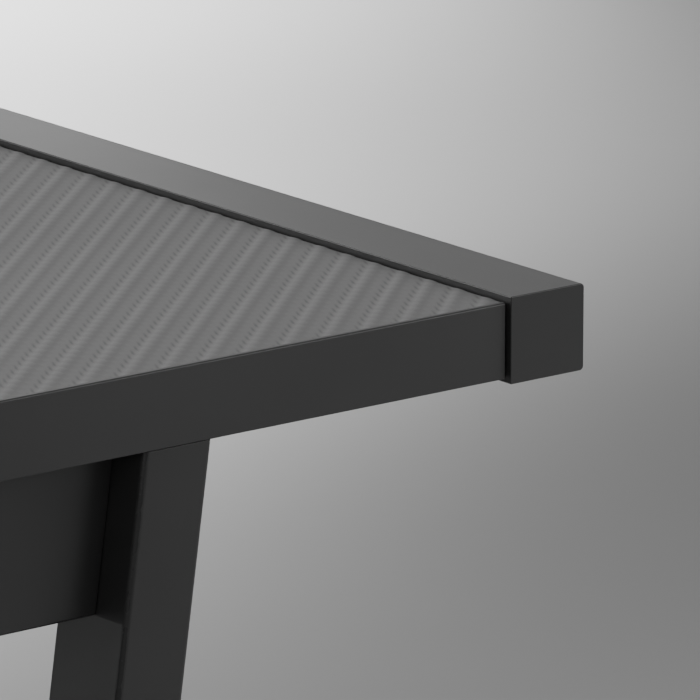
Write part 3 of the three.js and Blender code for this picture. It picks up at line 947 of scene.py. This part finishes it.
class DESK_OT_legs(PieceMaker, bpy.types.Operator):
    """Make the slanted tube legs"""

    bl_idname = "desk.legs"
    bl_label = "Legs"

    def make(self, sizes):
        for leg in LEGS:
            wing, low, high, middle_x = leg_line(leg, sizes)
            middle_y = (low.y + high.y) / 2
            half = Vector((sizes.leg_width / 2, (high.y - low.y) / 2))

            def place(u, v, w):
                return Vector((middle_x(w) + u, middle_y + v, w))

            stations = rounded_span(low.z, high.z, sizes.leg_end_radius)
            shape = tube((-half, half), sizes.leg_radius, stations, sizes.tube_wall, place)
            shape.moved(wing.matrix)
            make_piece(f"{leg}_leg_tube", shape, "steel", stands_for=[f"{leg}_leg"])


def cross_screw_places(low, high, sizes):
    """The middles of the screws along a cross tube."""
    inset = sizes.cross_screw_inset
    middle = (low.x + high.x) / 2
    return [
        Vector((middle, y)) for y in spread(low.y + inset, high.y - inset, sizes.cross_screws)
    ]


class DESK_OT_cross_tubes(PieceMaker, bpy.types.Operator):
    """Make the cross tubes between the legs, drilled below for a screwdriver"""

    bl_idname = "desk.cross_tubes"
    bl_label = "Cross tubes"

    def make(self, sizes):
        for name, wing, _, _ in LEG_FRAMES:
            node = f"{name}_cross_tube"
            low, high = wing.box(node)
            corners = (low.x, low.z), (high.x, high.z)
            stations = rounded_span(low.y, high.y, sizes.cut_radius)
            shape = tube(corners, sizes.cross_radius, stations, sizes.tube_wall, along_y)
            shape.moved(wing.matrix)
            places = cross_screw_places(low, high, sizes)
            holes = holes_below(places, sizes.access_radius, low.z, sizes.tube_wall, wing)
            make_piece(f"{node}_drilled", shape, "steel", stands_for=[node], cuts=[holes])


class DESK_OT_beams(PieceMaker, bpy.types.Operator):
    """Make the beams, with ends that follow the slant of the legs"""

    bl_idname = "desk.beams"
    bl_label = "Beams"

    def make(self, sizes):
        slope = leg_slope(sizes)
        for node, (wing, far_slanted) in BEAMS.items():
            low, high = wing.box(node)
            far_slope = slope if far_slanted else 0.0
            span = high.x - low.x

            def place(u, v, w):
                drop = high.z - v
                far_x = low.x + far_slope * drop
                near_x = high.x - slope * drop
                return Vector((far_x + (near_x - far_x) * w / span, u, v))

            corners = (low.y, low.z), (high.y, high.z)
            stations = rounded_span(0.0, span, sizes.cut_radius)
            shape = bar(corners, sizes.beam_radius, stations, place).moved(wing.matrix)
            make_piece(f"{node}_box", shape, "steel", stands_for=[node])


def bead_shape(path, outward, radius):
    """A weld bead along a path: a half-sunk round seam with close ripples and tapered ends."""
    sides = 8
    ripple, ripple_length = 0.14, 1.5 * MM
    end_share = 0.35  # of the radius, at the very ends
    lengths = [0.0]
    for first, second in zip(path, path[1:]):
        lengths.append(lengths[-1] + (second - first).length)
    rings = []
    for i, (point, out) in enumerate(zip(path, outward)):
        ahead = (path[min(i + 1, len(path) - 1)] - path[max(i - 1, 0)]).normalized()
        side = ahead.cross(out).normalized()
        end_taper = min(1.0, min(lengths[i], lengths[-1] - lengths[i]) / (2 * radius) + end_share)
        swell = 1 + ripple * math.sin(2 * math.pi * lengths[i] / ripple_length)
        r = radius * end_taper * swell
        ring = []
        for k in range(sides):
            turn = 2 * math.pi * k / sides
            ring.append((point + r * (math.cos(turn) * out + math.sin(turn) * side), 0.0))
        rings.append(ring)
    return Shape().sweep(rings)


class DESK_OT_welds(PieceMaker, bpy.types.Operator):
    """Make the weld beads where cross tubes meet legs and where screw tabs meet rails"""

    bl_idname = "desk.welds"
    bl_label = "Welds"

    bead_radius = 1.3 * MM
    bead_step = 0.35 * MM

    def make(self, sizes):
        for name, wing, _, _ in LEG_FRAMES:
            low, high = wing.box(f"{name}_cross_tube")
            for end, y in (("front", low.y), ("rear", high.y)):
                bead = self.tube_bead(low, high, y, sizes)
                make_piece(f"{name}_cross_weld_{end}", bead.moved(wing.matrix), "steel")
        for node, wing in END_RAILS.items():
            low, high = wing.box(node)
            x = high.x - sizes.rail_width
            z = -sizes.fit_gap - sizes.tab_thickness
            for i, y in enumerate(tab_places(wing, sizes)):
                bead = self.tab_bead(Vector((x, y, z)), sizes)
                make_piece(f"{node}_tab_weld_{i + 1}", bead.moved(wing.matrix), "steel")

    def tube_bead(self, low, high, y, sizes):
        """A bead down one side of a cross tube's end, under it and up the other side."""
        top = high.z - 2 * self.bead_radius
        outline = section((low.x, low.z), (high.x, high.z), sizes.cross_radius)
        lower = outline[: 2 * (CORNER_STEPS + 1)]
        corners = [Vector((low.x, top))] + [Vector((u, v)) for u, v, _ in lower]
        corners.append(Vector((high.x, top)))
        path = []
        for first, second in zip(corners, corners[1:]):
            count = max(1, round((second - first).length / self.bead_step))
            path += [first.lerp(second, i / count) for i in range(count)]
        path.append(corners[-1])
        middle = Vector(((low.x + high.x) / 2, top))
        places = [Vector((p.x, y, p.y)) for p in path]
        outward = [Vector((p.x - middle.x, 0, p.y - middle.y)).normalized() for p in path]
        return bead_shape(places, outward, self.bead_radius)

    def tab_bead(self, middle, sizes):
        """A straight bead under the root of a screw tab."""
        half = sizes.tab_width / 2 - 3 * self.bead_radius
        count = round(2 * half / self.bead_step)
        places = [middle + Vector((0, y, 0)) for y in spread(-half, half, count)]
        radius = 0.7 * self.bead_radius
        return bead_shape(places, [Vector((0, 0, -1))] * count, radius)


# --- Fasteners ---


AXIS_TURNS = 60  # enough for the axis to settle


def long_axis(node):
    """The ends of a round CAD node's axis, the head's end last, and its largest radius."""
    points = [vertex.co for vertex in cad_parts[node].data.vertices]
    middle = sum(points, Vector()) / len(points)
    axis = max((p - middle for p in points), key=lambda d: d.length)
    for _ in range(AXIS_TURNS):  # turns it towards the direction in which the points spread most
        axis = sum(((p - middle) * (p - middle).dot(axis) for p in points), Vector()).normalized()
    along = [(p - middle).dot(axis) for p in points]
    radii = [((p - middle) - axis * t).length for p, t in zip(points, along)]
    widest = along[radii.index(max(radii))]
    if widest < (min(along) + max(along)) / 2:
        axis, along = -axis, [-t for t in along]
    return middle + axis * min(along), middle + axis * max(along), max(radii)


def dome(radius, flat, lip, height, steps, wear):
    """Profile of a dome from its lip in to the flat on its crown. Heights below 0 make it hang."""
    profile = []
    for i in range(1, steps + 1):
        turn = i / steps * math.pi / 2
        r = radius + (flat - radius) * (1 - math.cos(turn))
        profile.append((r, lip + (height - lip) * math.sin(turn), wear))
    return profile


def button_head(radius, height, socket_width, socket_depth):
    """Profile of a button head from its seat at Z 0 over its dome into its hexagon socket."""
    lip, chamfer, seat_inset = 0.5 * MM, 0.25 * MM, 0.3 * MM
    flat = 1.32 * socket_width / 2  # just outside the socket's corners
    wide = hexagon(socket_width + 2 * chamfer)
    narrow = hexagon(socket_width)
    return [
        (radius - seat_inset, 0.0, 0.5),
        (radius, chamfer, 1.0),
        *dome(radius, flat, lip, height, 8, 0.3),
        (wide, height, 1.0),
        (narrow, height - chamfer, 0.3),
        (narrow, height - socket_depth, 0.0),
        (0.2 * MM, height - socket_depth - lip, 0.0),
    ]


class DESK_OT_bolts(PieceMaker, bpy.types.Operator):
    """Make the button-head bolts that hold the beams"""

    bl_idname = "desk.bolts"
    bl_label = "Bolts"

    shank_radius = 4 * MM
    head_height = 4.2 * MM
    socket_width = 5 * MM
    socket_depth = 2.2 * MM
    tip_chamfer = 0.8 * MM

    def make(self, sizes):
        for node in [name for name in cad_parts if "bolt" in name]:
            tip, crown, head_radius = long_axis(node)
            seat = (crown - tip).length - self.head_height
            shank = [
                (self.shank_radius - self.tip_chamfer, -seat, 0.0),
                (self.shank_radius, self.tip_chamfer - seat, 0.0),
                (self.shank_radius, 0.0, 0.0),
            ]
            head = button_head(head_radius, self.head_height, self.socket_width, self.socket_depth)
            direction = (crown - tip).normalized()
            place = Matrix.Translation(crown - direction * self.head_height)
            shape = turned(shank + head).moved(place @ upright_to(direction))
            make_piece(f"{node}_turned", shape, "bolt", stands_for=[node])


def screw_shape(seat, grip):
    """A pan-head wood screw that points up: its head below its seat, its shank through the steel."""
    head_radius, head_height, flat_radius, lip = 4.1 * MM, 2.6 * MM, 2.6 * MM, 0.8 * MM
    shank_radius = 2.1 * MM
    recess_radius, recess_lobe, recess_depth = 1.75 * MM, 0.4 * MM, 1.5 * MM
    recess_floor = recess_depth - head_height

    def recess(turn):
        return recess_radius + recess_lobe * math.cos(6 * turn)

    profile = [
        (shank_radius, grip, 0.0),
        (shank_radius, 0.0, 0.0),
        (head_radius - 0.2 * MM, 0.0, 0.5),
        (head_radius, -0.25 * MM, 1.0),
        *dome(head_radius, flat_radius, -lip, -head_height, 6, 0.0),
        (recess, -head_height, 1.0),
        (recess, recess_floor, 0.0),
        (0.3 * MM, recess_floor + 0.4 * MM, 0.0),
    ]
    return turned(profile).moved(Matrix.Translation(seat))


class DESK_OT_wood_screws(PieceMaker, bpy.types.Operator):
    """Make the wood screws up into the boards, through the cross tubes and the rails' tabs"""

    bl_idname = "desk.wood_screws"
    bl_label = "Wood screws"

    def make(self, sizes):
        for name, wing, _, _ in LEG_FRAMES:
            low, high = wing.box(f"{name}_cross_tube")
            for i, middle in enumerate(cross_screw_places(low, high, sizes)):
                seat = Vector((middle.x, middle.y, high.z - sizes.tube_wall))
                shape = screw_shape(seat, sizes.tube_wall + sizes.fit_gap).moved(wing.matrix)
                make_piece(f"{name}_cross_screw_{i + 1}", shape, "zinc")
        for node, wing in END_RAILS.items():
            low, _ = wing.box(node)
            first_x = low.x + sizes.tab_screw_inset
            for i, y in enumerate(tab_places(wing, sizes)):
                for k, x in enumerate((first_x, first_x + sizes.tab_screw_pitch)):
                    grip = sizes.tab_thickness + sizes.fit_gap
                    shape = screw_shape(Vector((x, y, -grip)), grip).moved(wing.matrix)
                    make_piece(f"{node}_screw_{i + 1}_{k + 1}", shape, "zinc")


# --- Levelling feet ---


def middle_line(low, high):
    """The move from the Z axis to the upright line through the middle of a box."""
    return Matrix.Translation(((low.x + high.x) / 2, (low.y + high.y) / 2, 0))


def arc(middle, half_sizes, turns, steps, wear):
    """Points on part of an ellipse in a profile, as (radius, height, wear)."""
    return [
        (
            middle[0] + half_sizes[0] * math.cos(turn),
            middle[1] + half_sizes[1] * math.sin(turn),
            wear,
        )
        for turn in spread(*turns, steps + 1)
    ]


class DESK_OT_levelling_feet(PieceMaker, bpy.types.Operator):
    """Make each leg's end plug, its threaded stud and the stud's rubber pad"""

    bl_idname = "desk.levelling_feet"
    bl_label = "Levelling feet"

    hex_height = 5 * MM
    hex_across_flats = 13 * MM
    hex_chamfer = 0.7 * MM
    stud_radius = 4 * MM
    flange_height = 3 * MM
    flange_radius = 0.7 * MM
    bore_radius = 4.08 * MM
    pin_radius = 3 * MM
    hex_sides = 72
    thread_sides = 32
    thread_steps = 8  # rings for each turn of the thread
    flank_slope, crest_width = 1.35, 0.12  # of the thread, for a depth and half a pitch of 1
    pad_rim = 1.2 * MM
    pad_groove = 0.5 * MM
    pad_socket_top, pad_socket_radius, pad_socket_depth = 3.4 * MM, 3.3 * MM, 4 * MM
    pad_middle = 0.3 * MM  # radius of the flats left in the middle of turned faces
    pad_sides = 64

    def make(self, sizes):
        for leg in LEGS:
            self.make_plug(leg, sizes)
            self.make_stud(leg, sizes)
            self.make_pad(leg)

    def make_plug(self, leg, sizes):
        """A flange under the leg, a spigot up inside it, and the stud's bore through both."""
        wing, leg_low, _, middle_x = leg_line(leg, sizes)
        low, high = wing.box(f"{leg}_plug")
        middle = Vector((middle_x(leg_low.z), (low.y + high.y) / 2))
        half = Vector((sizes.leg_width / 2, (high.y - low.y) / 2))
        corners, radius = (-half, half), sizes.leg_radius

        def flange_place(u, v, w):
            return Vector((middle.x + u, middle.y + v, w))

        def spigot_place(u, v, w):
            return Vector((middle_x(w) + u, middle.y + v, w))

        flange_top = low.z + self.flange_height
        margin = sizes.tube_wall + 2 * sizes.fit_gap
        flange_stations = rounded_span(low.z, flange_top, self.flange_radius)
        flange = bar_rings(corners, radius, flange_stations, flange_place)
        spigot_stations = [(flange_top, margin, 0), (high.z, margin, 0)]
        spigot = bar_rings(corners, radius, spigot_stations, spigot_place)
        bore = []
        for z in (high.z, low.z):
            ring = []
            for u, v, _ in section(*corners, radius):
                direction = Vector((u, v)).normalized() * self.bore_radius
                ring.append((flange_place(*direction, z), 0.0))
            bore.append(ring)
        shape = Shape().sweep(flange + spigot + bore, closed=True).moved(wing.matrix)
        make_piece(f"{leg}_plug_moulded", shape, "plastic", stands_for=[f"{leg}_plug"])

    def make_stud(self, leg, sizes):
        """A stud with a pin in its pad, a chamfered hexagon above it and a cut thread on top."""
        low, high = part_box(f"{leg}_stud")
        pad_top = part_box(f"{leg}_pad")[1].z
        hex_low = pad_top + sizes.fit_gap
        hex_high = hex_low + self.hex_height
        shape = self.hexagon_shape(low.z, hex_low, hex_high)
        shape.join(self.thread_shape(hex_high, high.z, sizes))
        shape.moved(middle_line(low, high))
        make_piece(f"{leg}_stud_cut", shape, "zinc", f"{leg}_foot", [f"{leg}_stud"])

    def hexagon_shape(self, pin_low, hex_low, hex_high):
        flats = hexagon(self.hex_across_flats)
        tip = self.hex_across_flats / 2 / math.cos(math.pi / 6)

        def chamfer(height, share):
            limit = tip - (2 - 4 * share) * self.hex_chamfer
            return (lambda turn: min(flats(turn), limit)), height, 0.8

        shares = (0.0, 0.25, 0.5)
        profile = [(self.pin_radius, pin_low, 0.0), (self.pin_radius, hex_low, 0.0)]
        profile += [chamfer(hex_low + share * self.hex_chamfer, share) for share in shares]
        profile += [chamfer(hex_high - share * self.hex_chamfer, share) for share in shares[::-1]]
        return turned(profile, self.hex_sides)

    def thread_shape(self, bottom, top, sizes):
        pitch, depth = sizes.thread_pitch, sizes.thread_depth
        step = pitch / self.thread_steps
        profile = []
        for i in range(int((top - bottom) / step) + 1):
            z = bottom + i * step
            room = min(1.0, (top - z) / pitch)

            def radius(turn, z=z, room=room):
                wave = abs(((z / pitch - turn / (2 * math.pi)) % 1) * 2 - 1)
                cut = depth * min(1.0, max(0.0, self.flank_slope * wave - self.crest_width))
                return self.stud_radius - max(cut, (1 - room) * depth)

            profile.append((radius, z, 0.3))
        profile.append((self.stud_radius - depth, top, 0.0))
        return turned(profile, self.thread_sides)

    def make_pad(self, leg):
        """A round pad with rounded rims and a groove round its side, over the stud's pin."""
        low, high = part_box(f"{leg}_pad")
        radius, rim = (high.x - low.x) / 2, self.pad_rim
        waist = (low.z + high.z) / 2
        socket_floor = high.z - self.pad_socket_depth
        quarter = math.pi / 2
        profile = [(self.pad_middle, low.z, 0.0)]
        profile += arc((radius - rim, low.z + rim), (rim, rim), (-quarter, 0.0), 6, 1.0)
        profile += arc((radius, waist), (-self.pad_groove, rim), (-quarter, quarter), 8, 0.0)
        profile += arc((radius - rim, high.z - rim), (rim, rim), (0.0, quarter), 6, 1.0)
        profile.append((self.pad_socket_top, high.z, 0.0))
        profile.append((self.pad_socket_radius, socket_floor, 0.0))
        profile.append((self.pad_middle, socket_floor, 0.0))
        shape = turned(profile, self.pad_sides).moved(middle_line(low, high))
        make_piece(f"{leg}_pad_moulded", shape, "rubber", f"{leg}_foot", [f"{leg}_pad"])


# --- Stage ---


def add_light(name, kind, place, target, power):
    """A light that looks at a point. The camera doesn't see it."""
    light = bpy.data.lights.new(name, kind)
    light.energy = power
    lamp = bpy.data.objects.new(name, light)
    lamp.location = place
    lamp.rotation_euler = (Vector(target) - Vector(place)).to_track_quat("-Z", "Y").to_euler()
    lamp.visible_camera = False
    bpy.context.scene.collection.objects.link(lamp)
    return light


def softbox(name, place, target, size, spread, power):
    """A rectangular light with a size in metres and a spread in degrees."""
    light = add_light(name, "AREA", place, target, power)
    light.shape = "RECTANGLE"
    light.size, light.size_y = size
    light.spread = math.radians(spread)


def floor_pool(name, place, cone, power):
    """A soft pool of light on the floor, from a lamp that hangs over it."""
    straight_down = (place[0], place[1], 0.0)
    light = add_light(name, "SPOT", place, straight_down, power)
    light.spot_size = math.radians(cone)
    light.spot_blend = 1.0
    light.shadow_soft_size = 0.3


class DESK_OT_stage(PieceMaker, bpy.types.Operator):
    """Make the floor, the soft studio lights and the camera"""

    bl_idname = "desk.stage"
    bl_label = "Stage"

    floor_half = 40.0  # half the floor's side
    ambient = 0.21
    subject = (0.68, 0.15, 0.6)  # what the softboxes look at, by the main wing's free end
    camera_place = (-0.7969, -1.7959, 1.3402)
    camera_turn = (75.25, 0.0, -37.67)  # degrees
    lens_length = 323.2  # millimetres, on a sensor 36 wide

    def make(self, sizes):
        scene = bpy.context.scene
        self.make_floor(scene)
        self.make_lights(scene)
        self.make_camera(scene)

    def make_floor(self, scene):
        mesh = bpy.data.meshes.new("floor")
        half, level = self.floor_half, cad_bounds[0].z
        sides = ((-half, -half), (half, -half), (half, half), (-half, half))
        mesh.from_pydata([(x, y, level) for x, y in sides], [], [(0, 1, 2, 3)])
        floor = bpy.data.objects.new("floor", mesh)
        scene.collection.objects.link(floor)
        material, tree, shader, place = new_material("Pale floor")
        colour = scene.desk_colours.floor
        clouds = use_group(tree, mottle_group(), Vector=place, Size=0.8)["Mottle"]
        base = mix_colour(tree, clouds, shaded(colour, 0.985), shaded(colour, 1.015))
        tree.links.new(base, shader.inputs["Base Color"])
        shader.inputs["Roughness"].default_value = 0.8
        mesh.materials.append(material)

    def make_lights(self, scene):
        world = bpy.data.worlds.new("Studio")
        world.use_nodes = True
        background = world.node_tree.nodes["Background"]
        background.inputs["Color"].default_value = (1, 1, 1, 1)
        background.inputs["Strength"].default_value = self.ambient
        scene.world = world
        at = self.subject
        softbox("Back softbox", (2.53, 6.3, 3.4), at, (4.6, 5.0), 90, 25)
        softbox("Back strip", (4.59, 4.72, 2.3), at, (1.4, 2.6), 60, 0.3)
        softbox("Overhead softbox", (0.8, 0.31, 3.4), at, (2.0, 2.0), 40, 5.4)
        softbox("Left softbox", (-1.85, 2.11, 1.4), at, (2.2, 1.8), 70, 12.4)
        softbox("Front left softbox", (-2.79, -1.72, 1.6), at, (2.4, 1.8), 60, 2.4)
        softbox("Front softbox", (1.15, -3.5, 1.2), at, (2.4, 1.8), 60, 1.6)
        softbox("Front right softbox", (2.64, -2.88, 1.3), at, (1.6, 1.6), 60, 3.5)
        softbox("Right softbox", (3.42, -1.21, 1.2), at, (2.0, 1.6), 60, 6.2)
        floor_pool("Near pool", (1.31, 2.44, 1.3), 80, 146)
        floor_pool("Middle pool", (1.8, 3.07, 1.5), 75, 288)
        floor_pool("Far pool", (2.16, 3.6, 2.4), 70, 580)
        floor_pool("Farthest pool", (2.74, 4.12, 1.6), 75, 520)

    def make_camera(self, scene):
        lens = bpy.data.cameras.new("Camera")
        lens.sensor_width = 36.0
        lens.lens = self.lens_length
        lens.clip_end = 60.0
        camera = bpy.data.objects.new("Camera", lens)
        camera.location = self.camera_place
        camera.rotation_euler = [math.radians(turn) for turn in self.camera_turn]
        scene.collection.objects.link(camera)
        scene.camera = camera


# --- Add-on ---

PIECE_OPERATORS = (
    DESK_OT_boards,
    DESK_OT_twill_tops,
    DESK_OT_edge_bands,
    DESK_OT_end_rails,
    DESK_OT_legs,
    DESK_OT_cross_tubes,
    DESK_OT_beams,
    DESK_OT_welds,
    DESK_OT_bolts,
    DESK_OT_wood_screws,
    DESK_OT_levelling_feet,
    DESK_OT_stage,
)


class DESK_PT_pieces(bpy.types.Panel):
    """Lists the operators that make the desk, with its sizes and colours"""

    bl_idname = "DESK_PT_pieces"
    bl_label = "Corner desk"
    bl_space_type = "VIEW_3D"
    bl_region_type = "UI"
    bl_category = "Desk"

    def draw(self, context):
        for operator in PIECE_OPERATORS:
            self.layout.operator(operator.bl_idname)
        for group in (context.scene.desk_sizes, context.scene.desk_colours):
            for name in group.bl_rna.properties.keys():
                if name not in ("rna_type", "name"):
                    self.layout.prop(group, name, text=name.replace("_", " ").capitalize())


CLASSES = (DeskSizes, DeskColours, *PIECE_OPERATORS, DESK_PT_pieces)


def register():
    for cls in CLASSES:
        bpy.utils.register_class(cls)
    bpy.types.Scene.desk_sizes = PointerProperty(type=DeskSizes)
    bpy.types.Scene.desk_colours = PointerProperty(type=DeskColours)


def unregister():
    del bpy.types.Scene.desk_colours
    del bpy.types.Scene.desk_sizes
    for cls in reversed(CLASSES):
        bpy.utils.unregister_class(cls)


def main():
    """Makes the whole desk and its stage."""
    register()
    bpy.ops.desk.stage()
    bpy.ops.desk.boards()
    bpy.ops.desk.twill_tops()
    bpy.ops.desk.edge_bands()
    bpy.ops.desk.end_rails()
    bpy.ops.desk.legs()
    bpy.ops.desk.cross_tubes()
    bpy.ops.desk.beams()
    bpy.ops.desk.welds()
    bpy.ops.desk.bolts()
    bpy.ops.desk.wood_screws()
    bpy.ops.desk.levelling_feet()
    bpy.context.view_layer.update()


if __name__ == "__main__":
    main()
